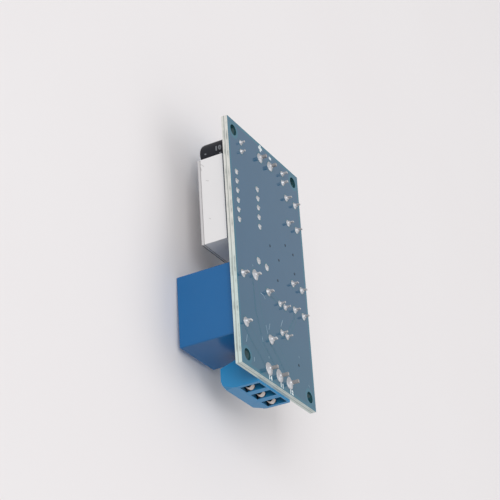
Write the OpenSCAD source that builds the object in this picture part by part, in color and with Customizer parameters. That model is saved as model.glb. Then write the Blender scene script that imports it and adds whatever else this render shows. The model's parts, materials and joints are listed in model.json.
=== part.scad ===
// Cycle timer relay module: a circuit board with a three-digit display, a sugar-cube relay,
// screw terminals at both ends and two push buttons.
// The board stands on its long edge, so the digits read upright from the front.
// X runs along the board to the output end, Y points out of the soldered face, Z is up.
// The origin is the centre of the four fixing holes, on the soldered face.

/* [Board] */
// Thickness of the board
board_t = 1.6; // [1.2:0.1:2.4]
// Height of the upright board, across its short side
board_w = 36; // [35:0.5:44]
// Diameter of the four fixing holes
hole_d = 2.8; // [2.2:0.1:3.2]
// Distance from a fixing hole to the two edges beside it
hole_inset = 2.8; // [2.5:0.1:3.2]
// Extra diameter of a drilled hole over the lead in it
drill_play = 0.2; // [0.1:0.05:0.4]

/* [Layout] */
// Setback of the input terminal from its end of the board
input_setback = 0.6; // [0.2:0.1:3]
// Reach of the output terminal past its end of the board
output_overhang = 0.6; // [0:0.1:1.2]
// Drop of the input terminal below the middle of the board
input_drop = 0.4; // [0:0.1:1]
// Gap from the input terminal to the display
terminal_display_gap = 1; // [0.6:0.1:4]
// Gap from the display to the relay
display_relay_gap = 6; // [5:0.1:12]
// Gap from the relay to the output terminal
relay_terminal_gap = 1.2; // [0.6:0.1:6]
// Gap from the upper edge of the board to the display
display_edge_gap = 1.1; // [0.5:0.1:2]
// Gap from the upper edge of the board to the relay
relay_edge_gap = 1.4; // [0.5:0.1:2]
// Height of the button centres above the lower edge
button_edge = 5; // [4:0.1:6]

/* [Display] */
// Length of the display
display_l = 22.6; // [21:0.1:26]
// Height of the display's face
display_h = 14; // [13:0.1:15]
// Depth of the display from its face to its back
display_t = 6.7; // [5:0.1:8]
// Wall of the display shell
display_wall = 0.8; // [0.6:0.1:1.2]
// Height of a digit
digit_h = 9.1; // [7:0.1:10]
// Slant of the digits, in degrees
digit_slant = 8; // [0:1:12]
// Width of a lit bar
bar_w = 1; // [0.7:0.1:1.3]
// Spacing of the leads along a row
pin_pitch = 2.54; // [2:0.01:2.54]
// Distance between the two rows of display leads
display_row = 10.16; // [9:0.01:11]

/* [Relay] */
// Length of the relay
relay_l = 18; // [17.6:0.1:22]
// Width of the relay
relay_w = 15.4; // [15:0.1:17]
// Height of the relay off the board
relay_h = 15; // [13.5:0.1:18]
// Wall of the relay cover
relay_wall = 0.6; // [0.4:0.1:0.7]
// Rounding of the relay cover's edges
relay_round = 0.4; // [0.2:0.1:0.6]
// Distance from the relay's end to its common lead
relay_com_inset = 1; // [0.95:0.05:1.2]
// Swing of the armature from open to closed, in degrees
armature_swing = 3; // [2:0.5:3]

/* [Terminals] */
// Spacing of the poles
pole_pitch = 5.08; // [4.9:0.01:6]
// Depth of a terminal from its wire face to its back
terminal_d = 7.6; // [7.4:0.1:9]
// Height of a terminal off the board
terminal_h = 9.6; // [9.2:0.1:12]
// Distance from the wire face to the lead
terminal_lead = 3.5; // [3.4:0.1:3.8]
// Width of a wire opening
wire_w = 3.2; // [3:0.1:3.6]
// Height of a wire opening
wire_h = 5; // [4.4:0.1:5.2]
// Diameter of a clamp screw's head
screw_head_d = 3.4; // [3:0.1:3.6]
// Diameter of a clamp screw's shank
screw_d = 2.4; // [2:0.1:2.6]

/* [Buttons] */
// Side of a button's square base
button_w = 6; // [5.8:0.1:6.4]
// Height of a button's base
button_base_h = 3.2; // [3:0.1:4]
// Diameter of the plunger
plunger_d = 3.4; // [3:0.1:3.6]
// Height of the plunger's top off the board
plunger_top = 5; // [4.3:0.1:9]
// Travel of the plunger
plunger_travel = 0.25; // [0.15:0.05:0.25]
// Spacing of the button's leads along the board
button_pin_x = 7; // [6.9:0.05:7.4]
// Spacing of the button's leads across the board
button_pin_y = 4.5; // [4:0.1:5]

/* [Capacitor] */
// Diameter of the capacitor over its sleeve
cap_d = 6.3; // [5:0.1:6.5]
// Height of the capacitor
cap_h = 7.3; // [5:0.1:11]
// Spacing of the capacitor's leads
cap_pitch = 2.5; // [2:0.1:2.5]

/* [Small parts] */
// Diameter of the indicator lamp
lamp_d = 3; // [2.5:0.1:3.2]
// Height of the indicator lamp
lamp_h = 5.3; // [4:0.1:7]
// Diameter of the disc capacitor
disc_d = 5; // [4:0.1:6]
// Thickness of the disc capacitor
disc_t = 2.2; // [1.6:0.1:3]
// Spacing of the leads of the axial parts
axial_pitch = 7.62; // [7.4:0.01:10.16]
// Length of a controller chip's body
chip_l = 9.9; // [9.6:0.1:10.4]

/* [Leads] */
// Reach of the display and capacitor leads past the soldered face
short_leg = 1.1; // [0.9:0.1:1.6]
// Reach of the relay, button and small part leads
long_leg = 1.5; // [1.2:0.1:2]
// Reach of the input terminal's leads
input_leg = 1.8; // [1.6:0.1:2.4]
// Reach of the output terminal's leads
output_leg = 2.3; // [1.8:0.1:3]
// Height of a small solder joint
joint_h = 0.6; // [0.4:0.1:0.8]

/* [Hidden] */
$fn = 48;
// Gap between pieces that are assembled or moulded together
fit = 0.03;
// Overshoot of a cutting shape
cut = 0.1;

// Along the board from the input end, and down from its upper edge
display_left = input_setback + terminal_d + terminal_display_gap;
display_u = display_left + display_l/2;
display_v = display_edge_gap + display_h/2;
relay_left = display_left + display_l + display_relay_gap;
relay_v = relay_edge_gap + relay_w/2;
relay_lower = relay_edge_gap + relay_w;
board_l = relay_left + relay_l + relay_terminal_gap + terminal_d - output_overhang;
input_u = input_setback + terminal_lead;
input_v = board_w/2 + input_drop;
output_u = board_l + output_overhang - terminal_lead;
output_v = board_w/2;
button_v = board_w - button_edge;
button_inset = 3.7;
button_lead_in = 1.2;
button_u = [display_left + button_inset, relay_left - button_lead_in];
input_poles = 2;
output_poles = 3;

// The capacitor stands against the display, clear of the corner hole
cap_side_gap = 0.1;
cap_hole_gap = 0.02;
cap_u = display_left - cap_side_gap - cap_d/2;
cap_reach = cap_d/2 + hole_d/2 + cap_hole_gap;
cap_v = hole_inset + sqrt(max(0, pow(cap_reach, 2) - pow(cap_u - hole_inset, 2)));

// Small parts, set from their neighbours
lamp_rim = 0.4;
lamp_shift = 0.3;
lamp_gap = 2;
lamp_flange = lamp_d + 2*lamp_rim;
lamp_u = input_u + lamp_shift;
lamp_v = input_v + input_poles*pole_pitch/2 + lamp_gap + lamp_flange/2;
disc_rim = 0.5;
disc_drop = 4.3;
disc_u = display_left + display_l + display_relay_gap*0.4;
disc_v = relay_v + disc_drop;
disc_pitch = disc_d - 2*disc_rim;
axial_inset = 7.5;
axial_gap = 4.1;
axial_u = relay_left + axial_inset;
resistor_v = relay_lower + axial_gap;
diode_v = resistor_v + pin_pitch;
chip_shift = 4;
chip_gap = 5.9;
chip_u = display_u + chip_shift;
chip_v = display_edge_gap + display_h + chip_gap;

// Lead sections: one number is a diameter, two are a strip
wire_section = [0.5];
lamp_section = [0.5, 0.5];
post_section = [0.7, 0.7];
relay_section = [0.4, 0.9];
button_section = [0.3, 0.7];

// Where the leads pass through the board
relay_coil_step = 2;
relay_contact_inset = 2.8;
relay_lead_inset = 1.7;
contact_x = relay_l - relay_contact_inset;
relay_com = [relay_left + relay_com_inset, relay_v];
relay_coil_u = relay_com[0] + relay_coil_step;
relay_contact_u = relay_left + contact_x;
relay_side = relay_w/2 - relay_lead_inset;
display_pins_at = [
    for (row = [-1, 1]) for (i = [0 : row < 0 ? 5 : 4])
        [display_u + (i - 2.5)*pin_pitch, display_v + row*display_row/2]];
cap_pins_at = [for (s = [-1, 1]) [cap_u + s*cap_pitch/2, cap_v]];
lamp_pins_at = [for (s = [-1, 1]) [lamp_u + s*pin_pitch/2, lamp_v]];
disc_pins_at = [for (s = [-1, 1]) [disc_u, disc_v + s*disc_pitch/2]];
resistor_pins_at = [for (s = [-1, 1]) [axial_u + s*axial_pitch/2, resistor_v]];
diode_pins_at = [for (s = [-1, 1]) [axial_u + s*axial_pitch/2, diode_v]];
input_pins_at = [for (i = [0 : input_poles - 1]) [input_u, input_v + row_offset(i, input_poles)]];
output_pins_at = [for (i = [0 : output_poles - 1]) [output_u, output_v + row_offset(i, output_poles)]];
coil_pins_at = [for (s = [-1, 1]) [relay_coil_u, relay_v + s*relay_side]];
contact_pins_at = [for (s = [-1, 1]) [relay_contact_u, relay_v + s*relay_side]];
button_pins_at = [
    for (u = button_u) for (i = [-1, 1]) for (j = [-1, 1])
        [u + i*button_pin_x/2, button_v + j*button_pin_y/2]];

// Spread of the solder past the lead's section, and height added to the bigger joints
wire_spread = 0.5;
part_spread = 0.65;
strip_spread = 0.6;
relay_spread = 0.8;
common_spread = 0.95;
input_spread = 0.9;
output_spread = 1.25;
relay_joint_h = joint_h + 0.1;
input_joint_h = joint_h + 0.1;
output_joint_h = joint_h + 0.2;

// Each group of joints: places, lead section, spread of the solder, height of the joint
joint_groups = [
    [display_pins_at, wire_section, wire_spread, joint_h],
    [cap_pins_at, wire_section, wire_spread, joint_h],
    [lamp_pins_at, lamp_section, wire_spread, joint_h],
    [concat(resistor_pins_at, diode_pins_at, disc_pins_at), wire_section, part_spread, joint_h],
    [button_pins_at, button_section, strip_spread, joint_h],
    [concat(coil_pins_at, contact_pins_at), relay_section, relay_spread, relay_joint_h],
    [[relay_com], relay_section, common_spread, relay_joint_h],
    [input_pins_at, post_section, input_spread, input_joint_h],
    [output_pins_at, post_section, output_spread, output_joint_h]];

function row_offset(i, poles) = (i - (poles - 1)/2)*pole_pitch;
function section_span(s) = len(s) == 1 ? s[0] : norm(s);

// Turns the board from lying on its soldered face to standing on its long edge
module stand() rotate([90, 0, 0]) children();

// Places children at a point of the board, off its component face
module on_board(p) translate([p[0] - board_l/2, board_w/2 - p[1], board_t]) children();

module section(s, grow = 0) {
    if (len(s) == 1) circle(d = s[0] + 2*grow, $fn = 24);
    else square([s[0] + 2*grow, s[1] + 2*grow], center = true);
}

// A straight lead from above the board to past the soldered face
module lead(s, top, leg) translate([0, 0, -board_t - leg]) linear_extrude(top + board_t + leg) section(s);

// A box standing on the component face, centred in plan
module slab(size, z = 0) translate([-size[0]/2, -size[1]/2, z]) cube(size);

// Extrudes a side profile across a width centred on the middle plane
module across(w) translate([0, w/2, 0]) rotate([90, 0, 0]) linear_extrude(w) children();

// A rectangle with round corners
module rounded(size, r) {
    square([size[0] - 2*r, size[1]], center = true);
    square([size[0], size[1] - 2*r], center = true);
    for (x = [-1, 1]) for (y = [-1, 1])
        translate([x*(size[0]/2 - r), y*(size[1]/2 - r)]) circle(r = r, $fn = 32);
}

// A slab with all its edges round but those at the bottom: three round outlines, crossed
module soft_slab(size, r) intersection() {
    linear_extrude(size[2]) rounded([size[0], size[1]], r);
    across(size[1]) translate([0, size[2]/2 - r]) rounded([size[0], size[2] + 2*r], r);
    rotate(90) across(size[0]) translate([0, size[2]/2 - r]) rounded([size[1], size[2] + 2*r], r);
}

// A moulded chip body: its sides lean in above and below a band at half its height
module moulded_slab(size, lean, band) intersection() {
    across(size[1]) leaning(size[0], size[2], lean, band);
    rotate(90) across(size[0]) leaning(size[1], size[2], lean, band);
}

module leaning(w, h, lean, band) polygon([
    [lean - w/2, 0], [w/2 - lean, 0], [w/2, (h - band)/2], [w/2, (h + band)/2],
    [w/2 - lean, h], [lean - w/2, h], [-w/2, (h + band)/2], [-w/2, (h - band)/2]]);

// Board and solder

module circuit_board() color("steelblue") stand() difference() {
    translate([-board_l/2, -board_w/2, 0]) cube([board_l, board_w, board_t]);
    for (x = [-1, 1]) for (y = [-1, 1])
        translate([x*(board_l/2 - hole_inset), y*(board_w/2 - hole_inset), -cut])
            cylinder(d = hole_d, h = board_t + 2*cut);
    for (g = joint_groups) for (p = g[0])
        on_board(p) translate([0, 0, -board_t - cut])
            cylinder(d = section_span(g[1]) + drill_play, h = board_t + 2*cut, $fn = 24);
}

solder_neck = 0.15;

// A concave cone of solder that climbs the lead
module joint(s, spread, h) {
    neck = section_span(s)/2 + solder_neck;
    foot = section_span(s)/2 + spread;
    steps = 4;
    profile = [for (i = [0 : steps]) let (t = i/steps) [neck + (foot - neck)*pow(1 - t, 2), h*t]];
    difference() {
        rotate_extrude($fn = 32) polygon(concat([[0, 0]], profile, [[0, h]]));
        translate([0, 0, -cut]) linear_extrude(h + 2*cut) section(s, fit);
    }
}

module solder_joints() color("gainsboro") stand()
    for (g = joint_groups) for (p = g[0])
        on_board(p) translate([0, 0, -board_t]) mirror([0, 0, 1]) joint(g[1], g[2], g[3]);

// Display

display_lift = 0.9;
resin_t = 2.2;
film_t = 0.2;
seam_t = 0.25;
seam_depth = 0.25;
seam_rim = 0.35;
digit_count = 3;
digit_margin = 0.7;
digit_space = 2.2;
digit_pitch = (display_l - digit_margin)/digit_count;
digit_w = digit_pitch - digit_space;
bar_gap = 0.15;
point_d = 1.1;
point_gap = 0.3;
digit_shift = 0.5;

// A bar with pointed ends, lying along X
module bar(length) polygon([
    [-length/2, 0], [-length/2 + bar_w/2, bar_w/2], [length/2 - bar_w/2, bar_w/2],
    [length/2, 0], [length/2 - bar_w/2, -bar_w/2], [-length/2 + bar_w/2, -bar_w/2]]);

// The seven bars of one digit and its point, slanted
module digit() {
    across = digit_w - bar_w;
    rise = (digit_h - bar_w)/2;
    lean = tan(digit_slant);
    multmatrix([[1, lean, 0, 0], [0, 1, 0, 0], [0, 0, 1, 0], [0, 0, 0, 1]]) {
        for (y = [-1, 0, 1]) translate([0, y*rise]) bar(across - bar_gap*2);
        for (x = [-1, 1]) for (y = [-1, 1])
            translate([x*across/2, y*rise/2]) rotate(90) bar(rise - bar_gap*2);
    }
    translate([digit_w/2 + point_gap, -digit_h/2 + point_d/2]) circle(d = point_d, $fn = 24);
}

module digits() for (i = [0 : digit_count - 1])
    translate([(i - (digit_count - 1)/2)*digit_pitch - digit_shift, 0]) digit();

module at_display() on_board([display_u, display_v]) translate([0, 0, display_lift]) children();

// The narrow groove round the display, just behind its face
module display_seam() difference() {
    slab([display_l + 2*cut, display_h + 2*cut, seam_t]);
    slab([display_l - 2*seam_depth, display_h - 2*seam_depth, seam_t + 2*cut], -cut);
}

module display_shell() color("whitesmoke") stand() at_display() difference() {
    slab([display_l, display_h, display_t - film_t]);
    translate([0, 0, display_t - film_t - seam_rim - seam_t]) display_seam();
    slab([display_l - 2*display_wall, display_h - 2*display_wall, resin_t + cut], -cut);
    translate([0, 0, resin_t - cut]) linear_extrude(display_t) digits();
}

module display_face_film() color("dimgray") stand() at_display()
    translate([0, 0, display_t - film_t]) linear_extrude(film_t) difference() {
        square([display_l, display_h], center = true);
        digits();
    }

module display_light_bars() color("mistyrose") stand() at_display()
    translate([0, 0, resin_t]) linear_extrude(display_t - resin_t) digits();

module display_resin() color("beige") stand() difference() {
    at_display() slab([display_l - 2*display_wall, display_h - 2*display_wall, resin_t]);
    for (p = display_pins_at) on_board(p) translate([0, 0, -cut])
        linear_extrude(display_lift + resin_t*0.7 + cut) section(wire_section, fit);
}

module display_leads() color("silver") stand()
    for (p = display_pins_at) on_board(p) lead(wire_section, display_lift + resin_t*0.7, short_leg);

// Electrolytic capacitor

cap_lift = 1;
sleeve_t = 0.15;
bung_h = 1.2;
can_round = 1;
foot_round = 0.5;
foot_lip = 0.7;
can_r = cap_d/2 - sleeve_t - fit;
vent_w = 0.25;
vent_t = 0.15;
sleeve_lip = 1.25;

// Half of a can's outline, with a rounded shoulder and a smaller rounding at its foot
module can_outline(r, low, high, round, foot) {
    translate([0, low + foot]) square([r, high - low - foot - round]);
    translate([0, low]) square([r - foot, high - low - round]);
    translate([0, low]) square([r - round, high - low]);
    translate([r - round, high - round]) circle(r = round, $fn = 32);
    if (foot > 0) translate([r - foot, low + foot]) circle(r = foot, $fn = 32);
}

module at_cap() on_board([cap_u, cap_v]) translate([0, 0, cap_lift]) children();

module capacitor_can() color("lightgray") stand() at_cap() difference() {
    rotate_extrude() intersection() {
        can_outline(can_r, bung_h, cap_h - sleeve_t - fit, can_round, 0);
        square([can_r, cap_h]);
    }
    for (a = [0, 90]) rotate(a)
        slab([can_r*1.2, vent_w, vent_t + cut], cap_h - sleeve_t - fit - vent_t);
}

module capacitor_sleeve() color([0.15, 0.15, 0.17]) stand() at_cap() rotate_extrude() difference() {
    intersection() {
        can_outline(cap_d/2, 0, cap_h, can_round + sleeve_t, foot_round);
        square([cap_d/2, cap_h]);
    }
    intersection() {
        can_outline(cap_d/2 - sleeve_t, sleeve_t, cap_h - sleeve_t, can_round, foot_round - sleeve_t);
        square([cap_d/2, cap_h]);
    }
    translate([0, cap_h/2]) square([cap_d/2 - sleeve_lip, cap_h]);
    translate([0, -cut]) square([cap_d/2 - foot_lip, cap_h/2 + 2*cut]);
}

// The rubber in the can's mouth, bevelled where the sleeve turns in under it
module capacitor_bung() color("black") stand() difference() {
    at_cap() rotate_extrude() polygon([
        [0, sleeve_t + fit], [can_r - foot_round, sleeve_t + fit], [can_r, sleeve_t + fit + foot_round],
        [can_r, bung_h], [0, bung_h]]);
    for (p = cap_pins_at) on_board(p) linear_extrude(cap_lift + bung_h + cut) section(wire_section, fit);
}

module capacitor_leads() color("silver") stand()
    for (p = cap_pins_at) on_board(p) lead(wire_section, cap_lift + bung_h, short_leg);

// Relay: measured from its common end, along the board, and from its middle

relay_base_t = 1.8;
relay_play = 0.05;
strip_t = 0.4;
button_r = 1;
fixed_button_h = 0.5;
moving_button_h = 1.2;
spring_t = 0.3;
armature_t = 1;
pole_gap = 0.5;
touch_gap = 0.05;
yoke_t = 1.2;
cover_gap = 0.15;
yoke_x = relay_wall + cover_gap;
pivot_x = yoke_x + yoke_t;
yoke_inset = 0.5;
yoke_foot_inset = 1.5;
yoke_reach = 1.4;
core_step = 5.6;
core_x = pivot_x + core_step;
core_d = 3.4;
pole_d = 5.4;
pole_h = 0.6;
bobbin_w = 10.4;
bobbin_l = 8.4;
flange_t = 0.8;
coil_gap = 0.5;
armature_w = 8;
armature_end = core_x + pole_d/2 + 0.4;
spring_w = 4;
arm_w = 2.2;
vent_d = 1.6;
vent_inset = 2.4;

// Heights, from the cover's roof down to the yoke
closed_arm_top = relay_h - relay_wall - cover_gap;
closed_button_low = closed_arm_top - strip_t - fixed_button_h;
moving_button_top = closed_button_low - touch_gap;
moving_button_low = moving_button_top - moving_button_h;
spring_low = (moving_button_top + moving_button_low - spring_t)/2;
armature_low = spring_low - armature_t;
pole_top = armature_low - pole_gap;
contact_travel = (contact_x + button_r - pivot_x)*sin(armature_swing);
open_button_top = moving_button_low - contact_travel - touch_gap;
open_arm_top = open_button_top - fixed_button_h;
bobbin_low = relay_base_t + yoke_t;
bobbin_high = pole_top - pole_h;

module at_relay() translate([relay_left - board_l/2, board_w/2 - relay_v, board_t]) children();

// A block between two corners given as x, half width and z
module relay_block(x0, x1, w, z0, z1) translate([x0, -w/2, z0]) cube([x1 - x0, w, z1 - z0]);

module relay_cover() color([0.2, 0.42, 0.63]) stand() at_relay() difference() {
    translate([relay_l/2, 0, 0]) soft_slab([relay_l, relay_w, relay_h], relay_round);
    relay_block(relay_wall, relay_l - relay_wall, relay_w - 2*relay_wall, -cut, relay_h - relay_wall);
    translate([relay_l - vent_inset, relay_w/2 - vent_inset, relay_h - relay_wall/2])
        cylinder(d = vent_d, h = relay_wall, $fn = 24);
}

module relay_base() color([0.16, 0.3, 0.45]) stand() difference() {
    at_relay() relay_block(relay_wall + relay_play, relay_l - relay_wall - relay_play,
        relay_w - 2*(relay_wall + relay_play), 0.2, relay_base_t);
    for (p = concat([relay_com], coil_pins_at, contact_pins_at))
        on_board(p) translate([0, 0, -cut]) linear_extrude(relay_base_t + 2*cut) section(relay_section, fit);
}

module relay_yoke() color("gray") stand() {
    difference() {
        at_relay() union() {
            relay_block(yoke_x, pivot_x, bobbin_w - 2*yoke_inset, relay_base_t, armature_low - touch_gap);
            relay_block(yoke_x, core_x + core_d/2 + yoke_reach, bobbin_w - 2*yoke_foot_inset,
                relay_base_t, bobbin_low);
        }
        at_relay() translate([core_x, 0, 0]) cylinder(d = core_d + 2*fit, h = bobbin_low + cut);
    }
    on_board(relay_com) lead(relay_section, relay_base_t, long_leg);
}

module relay_bobbin() color("linen") stand() at_relay() translate([core_x, 0, 0]) difference() {
    union() {
        translate([0, 0, bobbin_low]) slab([bobbin_l, bobbin_w, flange_t]);
        translate([0, 0, bobbin_high - flange_t]) slab([bobbin_l, bobbin_w, flange_t]);
        translate([0, 0, bobbin_low]) cylinder(d = core_d + 1.6, h = bobbin_high - bobbin_low);
    }
    translate([0, 0, bobbin_low - cut]) cylinder(d = core_d + 2*fit, h = relay_h);
}

module relay_coil() color([0.72, 0.4, 0.2]) stand() at_relay()
    translate([core_x, 0, bobbin_low + flange_t]) difference() {
        cylinder(d = bobbin_l - coil_gap, h = bobbin_high - bobbin_low - 2*flange_t);
        translate([0, 0, -cut]) cylinder(d = core_d + 1.6 + 2*fit, h = relay_h);
    }

module relay_core() color("silver") stand() at_relay() translate([core_x, 0, 0]) {
    translate([0, 0, relay_base_t]) cylinder(d = core_d, h = bobbin_high - relay_base_t);
    translate([0, 0, bobbin_high]) cylinder(d = pole_d, h = pole_h);
}

module relay_coil_leads() color("silver") stand()
    for (p = coil_pins_at) on_board(p) lead(relay_section, relay_base_t + 1.2, long_leg);

// A fixed contact: its lead rises at one side and an arm reaches in over the middle
module fixed_contact(side, arm_top, button_z) {
    p = [relay_contact_u, relay_v - side*relay_side];
    on_board(p) lead(relay_section, arm_top, long_leg);
    at_relay() translate([contact_x, 0, 0]) {
        translate([-arm_w/2, side > 0 ? -arm_w/2 : -relay_side - relay_section[1]/2, arm_top - strip_t])
            cube([arm_w, relay_side + (arm_w + relay_section[1])/2, strip_t]);
        translate([0, 0, button_z]) cylinder(r = button_r, h = fixed_button_h);
    }
}

module relay_closed_contact() color("goldenrod") stand()
    fixed_contact(1, closed_arm_top, closed_button_low);

module relay_open_contact() color("goldenrod") stand()
    fixed_contact(-1, open_arm_top, open_arm_top);

module relay_armature() color("darkgray") stand() at_relay()
    relay_block(yoke_x + 0.3, armature_end, armature_w, armature_low, spring_low);

module relay_contact_spring() color("gold") stand() at_relay() {
    relay_block(pivot_x + 0.6, contact_x + button_r + 0.2, spring_w, spring_low, spring_low + spring_t);
    translate([contact_x, 0, moving_button_low]) cylinder(r = button_r, h = moving_button_h);
}

// Screw terminals: measured from the lead, towards the wire face

clamp_play = 0.05;
floor_t = 0.3;
cage_w = wire_w - 2*clamp_play;
cage_t = 0.7;
cage_top_t = 1.1;
cage_setback = 1.3;
cage_head = 1.4;
back_wall = 1.5;
cage_front = terminal_lead - cage_setback;
cage_back = terminal_lead - terminal_d + back_wall;
cage_top = floor_t + wire_h + cage_head;
well_play = 0.2;
well_wall = 0.1;
screw_play = 0.1;
screw_head_h = 2;
screw_tip = cage_top - cage_top_t - 0.2;
slot_w = 0.6;
slot_t = 0.8;
guard_t = 0.25;
guard_side = 0.15;
guard_w = wire_w - 2*guard_side;
guard_drop = 0.7;
guard_flat = 0.5;
guard_bend = 0.1;
ear_setback = 0.15;
ear_tip = 1.25;
ear_nose = 0.35;
ear_low = 2.4;
ear_root = 1.7;
ear_step = 0.35;
ear_l = 2.4;
ear_gap = 0.05;
wire_top = floor_t + wire_h;
front_knee = wire_top + 0.5;
front_lean = 0.5;
front_drop = 0.6;
front_slope = 2.3;
nose_cut = [0.6, 1.3, 1.6];
back_slope = terminal_d - terminal_lead - screw_head_d/2 - well_play - well_wall;
back_knee = 2.4;

// The wire face leans back above the openings
module terminal_profile() polygon([
    [terminal_lead, 0], [terminal_lead, front_knee],
    [terminal_lead - front_lean, terminal_h - front_drop],
    [terminal_lead - front_slope, terminal_h], [terminal_lead - terminal_d + back_slope, terminal_h],
    [terminal_lead - terminal_d, back_knee], [terminal_lead - terminal_d, 0]]);

// The block that bevels one upper corner of the wire face, on the side given by 1 or -1.
// Its lower face cuts the three edges at that corner as far along as nose_cut says
module nose_bevel(side, w) {
    facing = [1/nose_cut[0], side/nose_cut[1], 1/nose_cut[2]];
    reach = norm(nose_cut);
    translate([terminal_lead - front_lean - nose_cut[0], side*w/2, terminal_h - front_drop])
        rotate([0, acos(facing[2]/norm(facing)), atan2(facing[1], facing[0])])
            slab([2*reach, 2*reach, reach]);
}

// The hollow that takes one clamp, its wire opening and its screw well
module pole_hollow() {
    translate([cage_back - clamp_play, -wire_w/2, floor_t])
        cube([cage_front - cage_back + 2*clamp_play, wire_w, cage_top + clamp_play - floor_t]);
    translate([0, -wire_w/2, floor_t]) cube([terminal_lead + cut, wire_w, wire_h]);
    translate([0, 0, cage_top - cut]) cylinder(d = screw_head_d + 2*well_play, h = terminal_h);
    slab([post_section[0] + 2*clamp_play, post_section[1] + 2*clamp_play, floor_t + 2*cut], -cut);
}

module terminal_body(poles) difference() {
    across(poles*pole_pitch) terminal_profile();
    for (side = [-1, 1]) nose_bevel(side, poles*pole_pitch);
    for (i = [0 : poles - 1]) translate([0, row_offset(i, poles), 0]) pole_hollow();
}

// A folded cage, open to the wire, with the screw's threaded hole in its top and the lead below
module clamp(leg) {
    low = floor_t + clamp_play;
    difference() {
        across(cage_w) difference() {
            translate([cage_back, low]) square([cage_front - cage_back, cage_top - low]);
            translate([cage_back + cage_t, low + cage_t])
                square([cage_front - cage_back, cage_top - cage_top_t - low - cage_t]);
        }
        translate([0, 0, low + cage_t]) cylinder(d = screw_d + 2*screw_play, h = terminal_h);
    }
    lead(post_section, low, leg);
}

// A springy leaf that hangs under the clamp's top and slopes back, between the screw and the wire,
// with an ear at each side that reaches forward into the opening
module wire_guard() {
    high = cage_top - cage_top_t - fit;
    across(guard_w) polygon([
        [cage_front, high], [cage_front, high - guard_t],
        [screw_d/2 - guard_bend, high - guard_t - guard_drop],
        [-screw_d/2, high - guard_t - 2*guard_drop], [-screw_d/2, high - 2*guard_drop],
        [screw_d/2, high - guard_drop], [cage_front - guard_flat, high]]);
    for (side = [-1, 1]) translate([0, side*(guard_w - guard_t)/2, 0]) across(guard_t) guard_ear();
}

// An ear from the side: its front edge is a blunt nose just inside the wire face
module guard_ear() {
    tip = terminal_lead - ear_setback;
    polygon([
        [tip - ear_step/2, wire_top - ear_nose], [tip, wire_top - ear_tip],
        [tip - ear_step, wire_top - ear_low], [cage_front, wire_top - ear_root],
        [tip - ear_l, wire_top - ear_root], [tip - ear_l, wire_top - ear_gap],
        [cage_front, wire_top - ear_gap]]);
}

module clamp_screw() difference() {
    union() {
        translate([0, 0, screw_tip]) cylinder(d = screw_d, h = cage_top + well_play - screw_tip);
        translate([0, 0, cage_top + well_play]) cylinder(d = screw_head_d, h = screw_head_h);
    }
    slab([screw_head_d + cut, slot_w, slot_t + cut], cage_top + well_play + screw_head_h - slot_t);
}

// The output terminal faces its end of the board, and the input terminal the other way
module at_output() on_board([output_u, output_v]) children();
module at_input() on_board([input_u, input_v]) rotate(180) children();

module output_terminal_body() color([0.22, 0.48, 0.68]) stand() at_output() terminal_body(output_poles);

module output_clamps() color("silver") stand()
    for (p = output_pins_at) on_board(p) clamp(output_leg);

module output_wire_guards() color("gainsboro") stand()
    for (p = output_pins_at) on_board(p) wire_guard();

module output_screw(i) color("silver") stand() on_board(output_pins_at[i]) clamp_screw();
module output_screw_1() output_screw(0);
module output_screw_2() output_screw(1);
module output_screw_3() output_screw(2);

module input_terminal_body() color([0.22, 0.48, 0.68]) stand() at_input() terminal_body(input_poles);

module input_clamps() color("silver") stand()
    for (p = input_pins_at) on_board(p) rotate(180) clamp(input_leg);

module input_wire_guards() color("gainsboro") stand()
    for (p = input_pins_at) on_board(p) rotate(180) wire_guard();

module input_screw(i) color("silver") stand() on_board(input_pins_at[i]) rotate(180) clamp_screw();
module input_screw_1() input_screw(0);
module input_screw_2() input_screw(1);

// Push buttons

button_wall = 0.55;
button_pocket_d = button_w - 2*button_wall;
button_floor = 1.6;
button_cover_t = 0.3;
plunger_play = 0.15;
flange_play = 0.1;
plunger_flange_t = 0.6;
plunger_bevel = 0.2;
plunger_flange_d = button_pocket_d - 0.4;
plunger_low = button_base_h - flange_play - plunger_flange_t;
dome_r = button_pocket_d/2 - 0.2;
dome_t = 0.1;
dome_rise = plunger_low - plunger_travel - touch_gap - button_floor;
peg_d = 0.7;
peg_inset = 0.75;
peg_head = 0.15;
leg_top = 1.2;

module at_button(i) on_board([button_u[i], button_v]) children();
module button_corners() for (x = [-1, 1]) for (y = [-1, 1])
    translate([x*(button_w/2 - peg_inset), y*(button_w/2 - peg_inset), 0]) children();

module button_base(i) color([0.13, 0.13, 0.14]) stand() at_button(i) {
    difference() {
        slab([button_w, button_w, button_base_h]);
        translate([0, 0, button_floor]) cylinder(d = button_pocket_d, h = button_base_h);
    }
    button_corners() translate([0, 0, button_base_h])
        cylinder(d = peg_d, h = button_cover_t + peg_head, $fn = 24);
}

module button_cover(i) color("silver") stand() at_button(i) difference() {
    slab([button_w - 0.2, button_w - 0.2, button_cover_t], button_base_h);
    translate([0, 0, button_base_h - cut]) {
        cylinder(d = plunger_d + 2*plunger_play, h = button_cover_t + 2*cut);
        button_corners() cylinder(d = peg_d + 2*fit, h = button_cover_t + 2*cut, $fn = 24);
    }
}

// A thin domed disc that stands on the floor of the pocket
module button_dome(i) color("lightsteelblue") stand() at_button(i) translate([0, 0, button_floor]) {
    radius = (pow(dome_r, 2) + pow(dome_rise, 2))/(2*dome_rise);
    spread = asin(dome_r/radius);
    steps = 6;
    outer = [for (k = [0 : steps]) let (a = spread*k/steps)
        [radius*sin(a), radius*cos(a) - radius + dome_rise]];
    inner = [for (k = [steps : -1 : 0]) outer[k] - [0, dome_t]];
    intersection() {
        rotate_extrude() polygon(concat(outer, inner));
        cylinder(r = dome_r + cut, h = dome_rise + cut);
    }
}

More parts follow.
